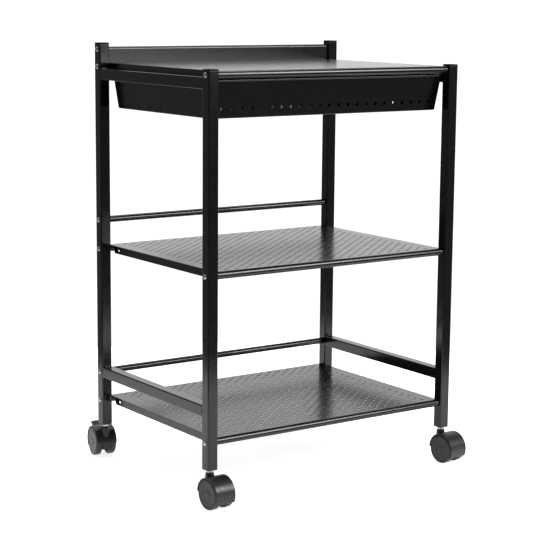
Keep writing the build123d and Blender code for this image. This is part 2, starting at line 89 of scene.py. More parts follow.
# ---------- drawer ----------
TRAY_FLOOR_HALF = 230.0 * MM
TRAY_FLOOR_Y = (-150.0 * MM, 142.0 * MM)
TRAY_RIM = 680.0 * MM
TRAY_SIDE_RIM = 675.2 * MM
TRAY_REAR_RIM = 670.0 * MM
TRAY_RIM_HALF = 233.8 * MM
TRAY_SPREAD = 12.0 * MM
TRAY_FOLD = 1.6 * MM
TRAY_CORNER = 2.2 * MM
TRAY_HOLE = 6.0 * MM
TRAY_HOLE_PITCH = 19.27 * MM
TRAY_HOLE_COUNT = 23
TRAY_HOLE_Z = 636.0 * MM
SIDE_HOLE = 4.0 * MM
SIDE_HOLE_PITCH = 36.0 * MM
SIDE_HOLE_COUNT = 7
SIDE_HOLE_Z = 627.5 * MM
CUTTER_REACH = 0.3
SIDE_CUTTER_REACH = 0.02
CUTTER_EDGE = 0.1 * MM
HANGER_WIDTH = 11.0 * MM
HANGER_Y = (-155.0 * MM, 147.7 * MM)
HEM = 4.4 * MM
STOP_Y = 72.3 * MM
STOP_SIZE = (3.0 * MM, 2.0 * MM, 6.0 * MM)

# ---------- casters ----------
WHEEL_R = 25.0 * MM
WHEEL_INNER = 7.5 * MM
WHEEL_OUTER = 18.5 * MM
WHEEL_WEB_MM = 2
WHEEL_BORE_MM = 3.05
WHEEL_HUB_MM = 6.0
WHEEL_RIM_MM = 20.5
TRAIL = 18.0 * MM
HOOD_R = (25.6 * MM, 27.6 * MM)
HOOD_ANGLES = (-28.0, 180.0)
CORE_HALF = 7.0 * MM
HOOD_EDGE = 0.7 * MM
CORE_EDGE = 0.8 * MM
CORE_BOTTOM = 13.0 * MM
NECK_R = 6.5 * MM
NECK_TOP = 56.0 * MM
BRAKE_RADIUS = 18.5 * MM
BRAKE_ANGLE = 62.0
BRAKE_TILT = 30.0
BRAKE_ARM = 13.5 * MM
BRAKE_ARM_HALF = 4.3 * MM
PEDAL = (22.0 * MM, 11.0 * MM, 3.0 * MM)
PEDAL_RIBS = 4
LEVER_EYE = 2.8 * MM

# ---------- camera and light ----------
CAMERA_PLACE = Vector((-1.617, -2.296, 0.808))
CAMERA_TURN = 35.18
CAMERA_TILT = -9.65
CAMERA_ROLL = 0.52
CAMERA_LENS = 106.4
CAMERA_SENSOR = 36.0
FLOOR_RADIUS = 1.0
FLOOR_GLOW = 0.8
AWAY = (0.574, 0.819, 0.0)
RIGHTWARD = (0.819, -0.574, 0.0)
WORLD_FRONT = 0.2
WORLD_BACK = 1.15
WORLD_HIGH = 0.05
# Each light: name, place, target, size and power.
LIGHTS = (
    ("top_softbox", (0.2, 0.5, 3.2), (0.0, 0.1, 0.0), (3.0, 2.4), 72),
    ("key_softbox", (1.7, -2.3, 1.85), (0.0, 0.0, 0.6), (0.9, 1.4), 75),
    ("front_panel", (0.75, -1.75, 0.92), (-0.2, 0.1, 0.7), (0.5, 0.45), 3.2),
)


# ---------- mesh tools ----------
def new_object(name, mesh):
    obj = bpy.data.objects.new(name, mesh)
    bpy.context.scene.collection.objects.link(obj)
    return obj


def from_bmesh(name, bm):
    """Object from a bmesh, with its faces turned outwards."""
    bmesh.ops.recalc_face_normals(bm, faces=bm.faces)
    mesh = bpy.data.meshes.new(name)
    bm.to_mesh(mesh)
    bm.free()
    return new_object(name, mesh)


def skin(name, rings, closed=False, capped=True):
    """Surface through rings of points that all have the same count."""
    bm = bmesh.new()
    rows = [[bm.verts.new(point) for point in ring] for ring in rings]
    pairs = list(zip(rows, rows[1:]))
    if closed:
        pairs.append((rows[-1], rows[0]))
    for low, high in pairs:
        for i in range(len(low)):
            j = (i + 1) % len(low)
            bm.faces.new((low[i], low[j], high[j], high[i]))
    if capped and not closed:
        bm.faces.new(rows[0])
        bm.faces.new(rows[-1])
    return from_bmesh(name, bm)


def rounded_rectangle(width, depth, radius, steps=6):
    """Points round a rectangle with rounded corners, centred on the origin."""
    points = []
    for turn in range(4):
        sign_x = 1 if turn in (0, 3) else -1
        sign_y = 1 if turn in (0, 1) else -1
        centre = (sign_x * (width / 2 - radius), sign_y * (depth / 2 - radius))
        for step in range(steps + 1):
            angle = math.radians(90 * (turn + step / steps))
            points.append((centre[0] + radius * math.cos(angle), centre[1] + radius * math.sin(angle)))
    return points


def circle(radius, centre=(0.0, 0.0), steps=16):
    """Points round a circle."""
    angles = [2 * math.pi * i / steps for i in range(steps)]
    return [(centre[0] + radius * math.cos(a), centre[1] + radius * math.sin(a)) for a in angles]


def arc(radius, centre, start, end, steps):
    """Points along an arc, with its angles in degrees."""
    angles = [math.radians(start + (end - start) * i / steps) for i in range(steps + 1)]
    return [(centre[0] + radius * math.cos(a), centre[1] + radius * math.sin(a)) for a in angles]


def move(obj, matrix):
    """Moves an object's points, so that its place is in its mesh."""
    obj.data.transform(matrix)
    if matrix.determinant() < 0:
        obj.data.flip_normals()
    return obj


def upright_yz():
    """Turns a plate in XY into one in YZ, with its thickness along X."""
    return Matrix(((0, 0, 1, 0), (1, 0, 0, 0), (0, 1, 0, 0), (0, 0, 0, 1)))


def joined(name, objects):
    """One object from several, in the order given."""
    bm = bmesh.new()
    for obj in objects:
        bm.from_mesh(obj.data)
        bpy.data.objects.remove(obj)
    mesh = bpy.data.meshes.new(name)
    bm.to_mesh(mesh)
    bm.free()
    return new_object(name, mesh)


def plate(name, outline, holes, thickness, edge, steps=2):
    """Flat plate in XY, centred on z = 0, with rounded edges, also round its holes."""
    bm = bmesh.new()
    edges = []
    for loop in [outline, *holes]:
        points = [bm.verts.new((x, y, -thickness / 2)) for x, y in loop]
        edges += [bm.edges.new((points[i - 1], points[i])) for i in range(len(points))]
    bmesh.ops.triangle_fill(bm, use_beauty=True, use_dissolve=False, edges=edges)
    made = bmesh.ops.extrude_face_region(bm, geom=bm.faces[:])
    risen = [part for part in made["geom"] if isinstance(part, bmesh.types.BMVert)]
    bmesh.ops.translate(bm, vec=(0, 0, thickness), verts=risen)
    bmesh.ops.recalc_face_normals(bm, faces=bm.faces)
    if edge:
        sharp = [e for e in bm.edges if e.calc_face_angle(0) > math.radians(60)]
        bmesh.ops.bevel(bm, geom=sharp, offset=edge, segments=steps, profile=0.5, affect="EDGES")
    return from_bmesh(name, bm)


def bar(name, low, high, edge, steps=2):
    """Bar between two corners, with rounded edges."""
    bm = bmesh.new()
    bmesh.ops.create_cube(bm, size=1)
    size = Vector(high) - Vector(low)
    centre = (Vector(high) + Vector(low)) / 2
    bmesh.ops.transform(bm, matrix=Matrix.Translation(centre) @ Matrix.Diagonal((*size, 1)), verts=bm.verts)
    bmesh.ops.bevel(bm, geom=bm.edges[:], offset=edge, segments=steps, profile=0.5, affect="EDGES")
    return from_bmesh(name, bm)


def lathe(name, profile, steps=48):
    """Turned form about the X axis, from (x, radius) points. An end on the axis closes it."""
    bm = bmesh.new()
    rows = []
    for x, radius in profile:
        if radius < 1e-7:
            rows.append([bm.verts.new((x, 0, 0))])
        else:
            rows.append([bm.verts.new((x, y, z)) for y, z in circle(radius, steps=steps)])
    for low, high in zip(rows, rows[1:]):
        for i in range(steps):
            j = (i + 1) % steps
            corners = [low[i % len(low)], low[j % len(low)], high[j % len(high)], high[i % len(high)]]
            bm.faces.new(list(dict.fromkeys(corners)))
    return from_bmesh(name, bm)


def rounded_rod(name, radius, start, end, edge, steps=40):
    """Round rod along X with rounded end edges."""
    turn = [(0, 1), (0.3, 0.7), (1, 0)]
    first = [(start + edge * a, radius - edge * b) for a, b in turn]
    last = [(end - edge * a, radius - edge * b) for a, b in reversed(turn)]
    return lathe(name, [(start, 0), *first, *last, (end, 0)], steps)


def smooth(obj, angle=40):
    """Smooth shading that keeps flat faces flat and edges above the angle sharp."""
    obj.data.shade_smooth()
    obj.data.set_sharp_from_angle(angle=math.radians(angle))
    normals = obj.modifiers.new("face_normals", "WEIGHTED_NORMAL")
    normals.keep_sharp = True
    return obj


def finish_piece(obj, body, slot, material, *nodes, angle=40):
    """Shades a piece, gives it its finish and makes it ride on its body."""
    smooth(obj, angle)
    obj.data.materials.clear()
    obj.data.materials.append(material)
    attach(obj, body)
    if nodes:
        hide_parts(*nodes)
    return obj


# ---------- materials ----------
class Nodes:
    """Short way to write a material's nodes."""

    def __init__(self, name):
        self.material = bpy.data.materials.new(name)
        self.material.use_nodes = True
        self.tree = self.material.node_tree
        self.shader = self.tree.nodes["Principled BSDF"]
        self.coordinates = self.add("ShaderNodeTexCoord").outputs["Object"]

    def add(self, kind, **values):
        node = self.tree.nodes.new(kind)
        for key, value in values.items():
            setattr(node, key, value)
        return node

    def link(self, source, target):
        self.tree.links.new(source, target)

    def noise(self, scale, detail=2.0, roughness=0.5, stretch=None):
        node = self.add("ShaderNodeTexNoise")
        node.inputs["Scale"].default_value = scale
        node.inputs["Detail"].default_value = detail
        node.inputs["Roughness"].default_value = roughness
        source = self.coordinates
        if stretch:
            mapping = self.add("ShaderNodeMapping")
            mapping.inputs["Scale"].default_value = stretch
            self.link(source, mapping.inputs["Vector"])
            source = mapping.outputs["Vector"]
        self.link(source, node.inputs["Vector"])
        return node.outputs["Fac"]

    def ranged(self, source, low, high, from_low=0.3, from_high=0.7):
        node = self.add("ShaderNodeMapRange")
        node.inputs["From Min"].default_value = from_low
        node.inputs["From Max"].default_value = from_high
        node.inputs["To Min"].default_value = low
        node.inputs["To Max"].default_value = high
        self.link(source, node.inputs["Value"])
        return node.outputs["Result"]

    def mixed(self, amount, first, second):
        node = self.add("ShaderNodeMix", data_type="RGBA")
        node.inputs["A"].default_value = (*first, 1)
        node.inputs["B"].default_value = (*second, 1)
        self.link(amount, node.inputs["Factor"])
        return node.outputs["Result"]

    def bump(self, layers):
        """Bump from (height, strength, distance) layers, one over the other."""
        last = None
        for height, strength, distance in layers:
            node = self.add("ShaderNodeBump")
            node.inputs["Strength"].default_value = strength
            node.inputs["Distance"].default_value = distance
            self.link(height, node.inputs["Height"])
            if last:
                self.link(last, node.inputs["Normal"])
            last = node.outputs["Normal"]
        self.link(last, self.shader.inputs["Normal"])

    def set(self, **values):
        for name, value in values.items():
            self.shader.inputs[name.replace("_", " ")].default_value = value


def powder_coat(name, base, low_roughness, high_roughness, peel):
    """Semi-gloss black powder coat: fine orange peel, faint cloudiness and slightly uneven gloss."""
    nodes = Nodes(name)
    cloud = nodes.noise(9.0, 3.0)
    lighter = [c * 1.35 for c in base]
    nodes.link(nodes.mixed(nodes.ranged(cloud, 0, 1), base, lighter), nodes.shader.inputs["Base Color"])
    haze = nodes.noise(60.0, 4.0, 0.6)
    nodes.link(nodes.ranged(haze, low_roughness, high_roughness), nodes.shader.inputs["Roughness"])
    nodes.bump([
        (nodes.noise(420.0, 1.5), peel, 0.00012),
        (nodes.noise(1500.0, 1.0), peel * 0.6, 0.00004),
    ])
    nodes.set(IOR=1.5, Specular_IOR_Level=0.37)
    return nodes.material


def moulded_plastic(name, base, roughness, grain, specular=0.5):
    """Satin moulded nylon with a fine spark-eroded grain."""
    nodes = Nodes(name)
    cloud = nodes.noise(45.0, 3.0)
    lighter = [c * 1.3 for c in base]
    nodes.link(nodes.mixed(nodes.ranged(cloud, 0, 1), base, lighter), nodes.shader.inputs["Base Color"])
    scuff = nodes.noise(160.0, 5.0, 0.65)
    nodes.link(nodes.ranged(scuff, roughness - 0.05, roughness + 0.08), nodes.shader.inputs["Roughness"])
    nodes.bump([(nodes.noise(1800.0, 2.0), grain, 0.00006)])
    nodes.set(IOR=1.5, Specular_IOR_Level=specular)
    return nodes.material


def wheel_tread(name):
    """Hard black nylon tread, with fine turning lines and a little floor dust."""
    nodes = Nodes(name)
    dust = nodes.noise(220.0, 4.0, 0.7)
    nodes.link(nodes.mixed(nodes.ranged(dust, 0, 1, 0.5, 0.8), (0.010, 0.010, 0.011), (0.030, 0.029, 0.028)),
               nodes.shader.inputs["Base Color"])
    nodes.link(nodes.ranged(dust, 0.42, 0.6), nodes.shader.inputs["Roughness"])
    nodes.bump([(nodes.noise(900.0, 2.0), 0.25, 0.00008)])
    return nodes.material


def blackened_steel(name, base, roughness):
    """Steel with a thin dark finish and fine machining lines."""
    nodes = Nodes(name)
    tone = nodes.noise(300.0, 3.0)
    lighter = [c * 1.5 for c in base]
    nodes.link(nodes.mixed(nodes.ranged(tone, 0, 1), base, lighter), nodes.shader.inputs["Base Color"])
    nodes.link(nodes.ranged(tone, roughness - 0.06, roughness + 0.08), nodes.shader.inputs["Roughness"])
    nodes.bump([(nodes.noise(2500.0, 2.0), 0.15, 0.00003)])
    nodes.set(Metallic=0.9)
    return nodes.material


COAT = powder_coat("black_powder_coat_tube", (0.0024, 0.0024, 0.0027), 0.12, 0.19, 0.08)
SHEET_COAT = powder_coat("black_powder_coat_sheet", (0.0018, 0.0018, 0.0021), 0.19, 0.25, 0.04)
HOOD_PLASTIC = moulded_plastic("moulded_nylon_hood", (0.007, 0.007, 0.0075), 0.36, 0.22, 0.42)
DISC_PLASTIC = moulded_plastic("moulded_nylon_wheel", (0.008, 0.008, 0.0085), 0.40, 0.25, 0.42)
LEVER_PLASTIC = moulded_plastic("moulded_nylon_lever", (0.008, 0.008, 0.009), 0.4, 0.25)
CAP_PLASTIC = moulded_plastic("moulded_cap", (0.005, 0.005, 0.006), 0.65, 0.25, 0.12)
TREAD = wheel_tread("wheel_tread")
SCREW_STEEL = blackened_steel("bright_black_screw", (0.34, 0.34, 0.35), 0.24)
BARE_STEEL = blackened_steel("plain_steel", (0.45, 0.45, 0.46), 0.32)


# ---------- frame: posts, rails and rear tubes ----------
def square_tube(name, length):
    """Hollow square tube along Z from z = 0, with rounded corners and rims."""
    walls = [
        (0, RIM_ROUND), (0, length - RIM_ROUND), (RIM_ROUND * 0.3, length - RIM_ROUND * 0.3),
        (RIM_ROUND, length), (TUBE_WALL, length), (TUBE_WALL, 0), (RIM_ROUND, 0),
        (RIM_ROUND * 0.3, RIM_ROUND * 0.3),
    ]
    rings = []
    for inset, z in walls:
        outline = rounded_rectangle(TUBE - 2 * inset, TUBE - 2 * inset, TUBE_CORNER - inset)
        rings.append([(x, y, z) for x, y in outline])
    return skin(name, rings, closed=True)


def make_post(name):
    low, high = POST_BOX[name]
    post = square_tube(name + "_post_tube", high.z - low.z)
    move(post, Matrix.Translation(((low.x + high.x) / 2, (low.y + high.y) / 2, low.z)))
    finish_piece(post, "frame", "coated_tube", COAT, name + "_post")


def make_cap(name):
    """End cap with a softly domed top."""
    low, high = CAP_BOX[name]
    thickness = high.z - POST_BOX[name][1].z
    steps = [(0.25, 0), (0, 0.15), (0, 0.6), (0.25, 0.85), (0.9, 0.97), (2.4, 1.0)]
    rings = []
    for inset, share in steps:
        side = TUBE - 2 * inset * MM
        outline = rounded_rectangle(side, side, max(TUBE_CORNER - inset * MM, 0.4 * MM))
        rings.append([(x, y, thickness * share) for x, y in outline])
    cap = skin(name + "_cap_cover", rings)
    move(cap, Matrix.Translation(((low.x + high.x) / 2, (low.y + high.y) / 2, high.z - thickness)))
    finish_piece(cap, "frame", "cap_plastic", CAP_PLASTIC, name + "_cap")


def weld_bead(length):
    """Rippled fillet weld along X, in the corner between two faces at right angles."""
    rings = []
    for i in range(WELD_RINGS + 1):
        share = i / WELD_RINGS
        swell = math.sqrt(max(0.0, 1 - abs(2 * share - 1) ** 6))
        size = WELD * swell * (1 + 0.07 * math.sin(i * 2.4)) + 0.02 * MM
        rise = arc(size * 0.72, (0, 0), 0, 90, 4)
        rings.append([(length * (share - 0.5), 0, 0)] + [(length * (share - 0.5), y, z) for y, z in rise])
    return skin("weld", rings)


def make_rail(name):
    """Side rail between the posts, with a short weld above and below each end."""
    low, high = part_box(name)
    length = high.y - low.y
    centre = (low + high) / 2
    rail = square_tube("tube", length)
    move(rail, Matrix.Translation((centre.x, high.y, centre.z)) @ Matrix.Rotation(math.radians(90), 4, "X"))
    parts = [rail]
    for end, turn_y in ((low.y, 1), (high.y, -1)):
        for face, turn_z in ((low.z, -1), (high.z, 1)):
            weld = weld_bead(TUBE - 2 * TUBE_CORNER)
            move(weld, Matrix.Translation((centre.x, end, face)) @ Matrix.Diagonal((1, turn_y, turn_z, 1)))
            parts.append(weld)
    finish_piece(joined(name + "_tube", parts), "frame", "coated_tube", COAT, name)


def make_rear_tube(name):
    low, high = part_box(name)
    centre = (low + high) / 2
    rod = rounded_rod(name + "_bar", (high.z - low.z) / 2, low.x, high.x, 0.5 * MM)
    move(rod, Matrix.Translation((0, centre.y, centre.z)))
    finish_piece(rod, "frame", "coated_tube", COAT, name)


# ---------- shelves and guard ----------
def hole_places():
    """Centres of the deck's holes: one grid, and a second one in the middle of its cells."""
    places = []
    for shift in (0, 1):
        columns, rows = HOLE_COUNT[0] - shift, HOLE_COUNT[1] - shift
        for i in range(columns):
            for j in range(rows):
                x = (i - (columns - 1) / 2) * HOLE_PITCH[0]
                y = (j - (rows - 1) / 2) * HOLE_PITCH[1]
                places.append((x, y))
    return places


def make_flange(side, reach):
    """Down-turned side edge of a shelf, with rounded lower corners and a hole near each end."""
    half = FLANGE_LENGTH / 2
    top = -SHEET * 0.45
    corner = FLANGE_CORNER
    outline = [(-half, top)]
    outline += arc(corner, (-half + corner, corner - FLANGE_HEIGHT), 180, 270, 6)
    outline += arc(corner, (half - corner, corner - FLANGE_HEIGHT), 270, 360, 6)
    outline.append((half, top))
    holes = [circle(FLANGE_HOLE / 2, (y, -FLANGE_HEIGHT / 2), 20)
             for y in (-FLANGE_HOLE_OFFSET, FLANGE_HOLE_OFFSET)]
    flange = plate("flange", outline, holes, SHEET, SHEET_EDGE)
    return move(flange, Matrix.Translation((side * (reach - SHEET / 2), 0, 0)) @ upright_yz())


def make_shelf(name):
    low, high = SHELF_BOX[name]
    reach = high.x
    perforated = name != "top_shelf"
    rear = POST_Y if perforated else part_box("rear_guard")[0].y - SEAT_CLEARANCE
    outline = [(-reach, -POST_Y), (reach, -POST_Y), (reach, rear), (-reach, rear)]
    holes = [circle(HOLE / 2, place, 14) for place in hole_places()] if perforated else []
    edge = HOLE_EDGE if perforated else SHEET_EDGE
    parts = [move(plate("deck", outline, holes, SHEET, edge), Matrix.Translation((0, 0, -SHEET / 2)))]
    if not perforated:
        parts.append(bar("seat", (-reach, rear - SHEET, -2 * SHEET), (reach, POST_Y, -SHEET), SHEET_EDGE))
    for side in (-1, 1):
        bead = rounded_rod("bead", BEAD / 2, -reach, reach, 0.9 * MM, 48)
        parts.append(move(bead, Matrix.Translation((0, side * POST_Y, -BEAD / 2))))
        parts.append(make_flange(side, reach))
    shelf = move(joined(name + "_sheet", parts), Matrix.Translation((0, 0, high.z)))
    finish_piece(shelf, "frame", "coated_sheet", SHEET_COAT, name)


def make_guard():
    low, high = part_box("rear_guard")
    face = high.y - GUARD_BEAD
    radius = GUARD_BEAD / 2
    panel = bar("panel", (low.x, face, low.z), (high.x, face + SHEET, high.z - radius), SHEET_EDGE)
    lip = bar("lip", (low.x, low.y, low.z), (high.x, face + SHEET, low.z + SHEET), SHEET_EDGE)
    bead = rounded_rod("bead", radius, low.x, high.x, 0.7 * MM)
    move(bead, Matrix.Translation((0, high.y - radius, high.z - radius)))
    guard = joined("rear_guard_panel", [panel, lip, bead])
    finish_piece(guard, "frame", "coated_sheet", SHEET_COAT, "rear_guard")


# ---------- drawer ----------
def tray_ring(z, inset, fold=0.0):
    """Points round the tray at a height, inset from its outer faces. fold pulls in the floor's corner."""
    floor_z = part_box("drawer_tray")[0].z
    middle = (TRAY_FLOOR_Y[0] + TRAY_FLOOR_Y[1]) / 2
    depth = TRAY_FLOOR_Y[1] - TRAY_FLOOR_Y[0]
    corner = TRAY_CORNER
    outline = rounded_rectangle(2 * TRAY_FLOOR_HALF, depth, corner, 5)
    ring = []
    for x, y in outline:
        top = z
        if z > TRAY_REAR_RIM:
            front_share = (-y - depth / 2 + corner) / corner
            top = TRAY_REAR_RIM if y > depth / 2 - corner else TRAY_SIDE_RIM
            if y < -depth / 2 + corner:
                top = TRAY_SIDE_RIM + (TRAY_RIM - TRAY_SIDE_RIM) * min(1.0, front_share * 2)
        rise = (top - floor_z) / (TRAY_RIM - floor_z)
        half = TRAY_FLOOR_HALF + (TRAY_RIM_HALF - TRAY_FLOOR_HALF) * rise
        scale_x = (half - inset - fold) / TRAY_FLOOR_HALF
        scale_y = (depth / 2 + TRAY_SPREAD * rise - inset - fold) / (depth / 2)
        ring.append((x * scale_x, y * scale_y + middle, top))
    return ring


def tray_shell():
    """Folded tray: outside up, over the rim and down the inside."""
    floor_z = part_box("drawer_tray")[0].z
    rings = []
    for x, z in arc(TRAY_FOLD, (0, TRAY_FOLD), 270, 360, 4):
        rings.append(tray_ring(floor_z + z, 0, TRAY_FOLD - x))
    rings.append(tray_ring(TRAY_RIM, 0))
    rings.append(tray_ring(TRAY_RIM, SHEET))
    inner = TRAY_FOLD - SHEET * 0.5
    for x, z in reversed(arc(inner, (0, inner), 270, 360, 4)):
        rings.append(tray_ring(floor_z + SHEET + z, SHEET, inner - x))
    return skin("tray_shell", rings)


def tray_cutters():
    """Bars that cut the rows of holes through the tray's walls."""
    parts = []
    for i in range(TRAY_HOLE_COUNT):
        x = (i - (TRAY_HOLE_COUNT - 1) / 2) * TRAY_HOLE_PITCH
        rod = rounded_rod("cut", TRAY_HOLE / 2, -CUTTER_REACH, CUTTER_REACH, CUTTER_EDGE, 20)
        turn = Matrix.Rotation(math.radians(90), 4, "Z")
        parts.append(move(rod, Matrix.Translation((x, 0, TRAY_HOLE_Z)) @ turn))
    for i in range(SIDE_HOLE_COUNT):
        y = (i - (SIDE_HOLE_COUNT - 1) / 2) * SIDE_HOLE_PITCH
        for side in (-1, 1):
            rod = rounded_rod("cut", SIDE_HOLE / 2, -SIDE_CUTTER_REACH, SIDE_CUTTER_REACH, CUTTER_EDGE, 16)
            parts.append(move(rod, Matrix.Translation((side * TRAY_FLOOR_HALF, y, SIDE_HOLE_Z))))
    return joined("tray_cutters", parts)


def cut(obj, cutters):
    """Cuts one mesh out of another and keeps the result."""
    modifier = obj.modifiers.new("cut", "BOOLEAN")
    modifier.operation = "DIFFERENCE"
    modifier.solver = "EXACT"
    modifier.object = cutters
    bpy.context.view_layer.update()
    graph = bpy.context.evaluated_depsgraph_get()
    mesh = bpy.data.meshes.new_from_object(obj.evaluated_get(graph))
    obj.modifiers.clear()
    obj.data = mesh
    bpy.data.objects.remove(cutters)
    return obj


def tray_hanger(side):
    """Inward flange that the runner's lip carries, with its stop tab."""
    top = TRAY_SIDE_RIM
    floor_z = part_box("drawer_tray")[0].z
    rise = (top - floor_z) / (TRAY_RIM - floor_z)
    wall = TRAY_FLOOR_HALF + (TRAY_RIM_HALF - TRAY_FLOOR_HALF) * rise - SHEET / 2
    inner = wall - HANGER_WIDTH
    flange = bar("hanger", (inner, HANGER_Y[0], top - SHEET), (wall, HANGER_Y[1], top), SHEET_EDGE)
    tab_low = (inner, STOP_Y, top - SHEET)
    tab_high = (inner + STOP_SIZE[0], STOP_Y + STOP_SIZE[1], top + STOP_SIZE[2] - SHEET)
    parts = [flange, bar("tab", tab_low, tab_high, SHEET_EDGE)]
    hanger = joined("hanger_side", parts)
    return hanger if side > 0 else move(hanger, Matrix.Diagonal((-1, 1, 1, 1)))


def make_drawer():
    shell = cut(tray_shell(), tray_cutters())
    hem_y = TRAY_FLOOR_Y[0] - TRAY_SPREAD - HEM / 2 + SHEET
    reach = TRAY_RIM_HALF - SHEET
    hem = rounded_rod("hem", HEM / 2, -reach, reach, 0.5 * MM, 24)
    move(hem, Matrix.Translation((0, hem_y, TRAY_RIM + SHEET)))
    tray = joined("drawer_tray_shell", [shell, hem, tray_hanger(-1), tray_hanger(1)])
    finish_piece(tray, "drawer", "coated_sheet", SHEET_COAT, "drawer_tray", angle=32)


# ---------- screws ----------
def screw():
    """Button-head screw along X, its seat at x = 0 and a hexagon socket in its head."""
    steps = SCREW_STEPS
    radius = SCREW_HEAD / 2
    profile = [(0, radius * 0.97), (0.12, radius), (0.35, radius), (0.62, radius * 0.93),
               (0.86, radius * 0.76), (0.98, radius * 0.55), (1.0, radius * 0.46)]
    bm = bmesh.new()
    rows = [[bm.verts.new((-SCREW_LENGTH, y, z)) for y, z in circle(SCREW_SHANK / 2, steps=steps)],
            [bm.verts.new((0, y, z)) for y, z in circle(SCREW_SHANK / 2, steps=steps)]]
    for x, ring in profile:
        rows.append([bm.verts.new((x * SCREW_HEIGHT, y, z)) for y, z in circle(ring, steps=steps)])
    for depth in (1.0, 0.45):
        row = []
        for i in range(steps):
            angle = 2 * math.pi * i / steps
            away = (angle % (math.pi / 3)) - math.pi / 6
            size = SCREW_HEXAGON / math.cos(away)
            row.append(bm.verts.new((depth * SCREW_HEIGHT, size * math.cos(angle), size * math.sin(angle))))
        rows.append(row)
    for low, high in zip(rows, rows[1:]):
        for i in range(steps):
            j = (i + 1) % steps
            bm.faces.new((low[i], low[j], high[j], high[i]))
    bm.faces.new(rows[0])
    bm.faces.new(rows[-1])
    return from_bmesh("screw", bm)


def make_screws(node, places):
    """The screws of one group, at the same (y, z) places on both sides."""
    parts = []
    for index, (y, z) in enumerate(places):
        for side in (-1, 1):
            turn = Matrix.Rotation(math.radians(17 * index + 9 * side), 4, "X")
            flip = Matrix.Diagonal((side, 1, 1, 1))
            parts.append(move(screw(), Matrix.Translation((side * POST_FACE, y, z)) @ flip @ turn))
    finish_piece(joined(node + "_heads", parts), "frame", "steel", SCREW_STEEL, node)


def make_all_screws():
    shelf_places = []
    for name in SHELVES:
        z = SHELF_BOX[name][1].z - BEAD / 2
        shelf_places += [(-POST_Y, z), (POST_Y, z)]
    tube_places = []
    for name in ("rear_middle_tube", "rear_bottom_tube"):
        low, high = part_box(name)
        tube_places.append((POST_Y, (low.z + high.z) / 2))
    low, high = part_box("guard_screws")
    make_screws("shelf_screws", shelf_places)
    make_screws("rear_tube_screws", tube_places)
    make_screws("guard_screws", [(POST_Y, (low.z + high.z) / 2)])


# ---------- casters, built with the stem on the Z axis and the axle towards +Y ----------
def caster_place(name):
    """Where the caster stands: its swivel point on the floor and its turn at rest."""
    axis = JOINTS[name + "_left_wheel_spin"]["axis"]
    turn = math.atan2(axis[1], axis[0])
    place = JOINTS[name + "_swivel"]["pos_m"]
    return Matrix.Translation((place[0], place[1], 0)) @ Matrix.Rotation(turn, 4, "Z")


def hood_outline():
    """Arched section of the hood in (y, z), about the axle."""
    start, end = HOOD_ANGLES
    outer = arc(HOOD_R[1], (0, 0), start, end, 40)
    inner = arc(HOOD_R[0], (0, 0), end, start, 40)
    return outer + inner


def core_outline():
    """Middle web of the housing in (y, z), about the axle, cut off flat below."""
    radius = HOOD_R[0] + 0.3 * MM
    drop = CORE_BOTTOM - WHEEL_R
    angle = math.degrees(math.asin(drop / radius))
    return arc(radius, (0, 0), angle, 180 - angle, 48)


def make_housing(name, body):
    axle = Matrix.Translation((0, TRAIL, WHEEL_R))
    hood = plate("hood", hood_outline(), [], 2 * WHEEL_OUTER, HOOD_EDGE, 3)
    core = plate("core", core_outline(), [], 2 * CORE_HALF, CORE_EDGE, 3)
    parts = [move(part, axle @ upright_yz()) for part in (hood, core)]
    foot = CORE_BOTTOM + 1 * MM
    stand = [(foot, 0), (foot, NECK_R), (NECK_TOP - 6 * MM, NECK_R + 1.2 * MM), (NECK_TOP - 1 * MM, NECK_R),
             (NECK_TOP - 0.3 * MM, NECK_R - 0.3 * MM), (NECK_TOP, NECK_R - 1 * MM), (NECK_TOP, 0)]
    neck = lathe("neck", stand, 36)
    parts.append(move(neck, Matrix.Rotation(math.radians(-90), 4, "Y")))
    housing = move(joined(name + "_caster_hood", parts), caster_place(name))
    finish_piece(housing, body, "hood_plastic", HOOD_PLASTIC, name + "_caster_housing")


def wheel_profile():
    """Half section of a wheel from the inner rim, over the tread, to the hub cap, as (x, radius) in mm."""
    r = WHEEL_R / MM
    a, b = WHEEL_INNER / MM, WHEEL_OUTER / MM
    tread = [(a, r - 4.5), (a, r - 1.2), (a + 0.4, r - 0.35), (a + 1.4, r), (b - 1.7, r), (b - 0.7, r - 0.35)]
    shoulder = [(b - 0.15, r - 1.2), (b, r - 2.2), (b - 0.05, r - 2.6)]
    groove = [(b - 0.55, r - 3.0), (b - 0.55, r - 3.5), (b - 0.1, r - 3.9)]
    disc = [(b - 0.2, 13.0), (b - 0.5, 9.0), (b - 0.62, 7.4)]
    cap = [(b - 0.3, 6.9), (b - 0.15, 5.6), (b - 0.05, 2.5), (b, 0)]
    return [(x * MM, radius * MM) for x, radius in tread + shoulder + groove + disc + cap]


def wheel_inside():
    """Inner face of a wheel: recessed web and bored hub, as (x, radius)."""
    a, b = WHEEL_INNER / MM, WHEEL_OUTER / MM
    web = b - WHEEL_WEB_MM
    bore, hub, rim = WHEEL_BORE_MM, WHEEL_HUB_MM, WHEEL_RIM_MM
    points = [(web, 0), (web, bore), (a, bore), (a, hub), (web, hub), (web, rim), (a, rim)]
    return [(x * MM, radius * MM) for x, radius in points]


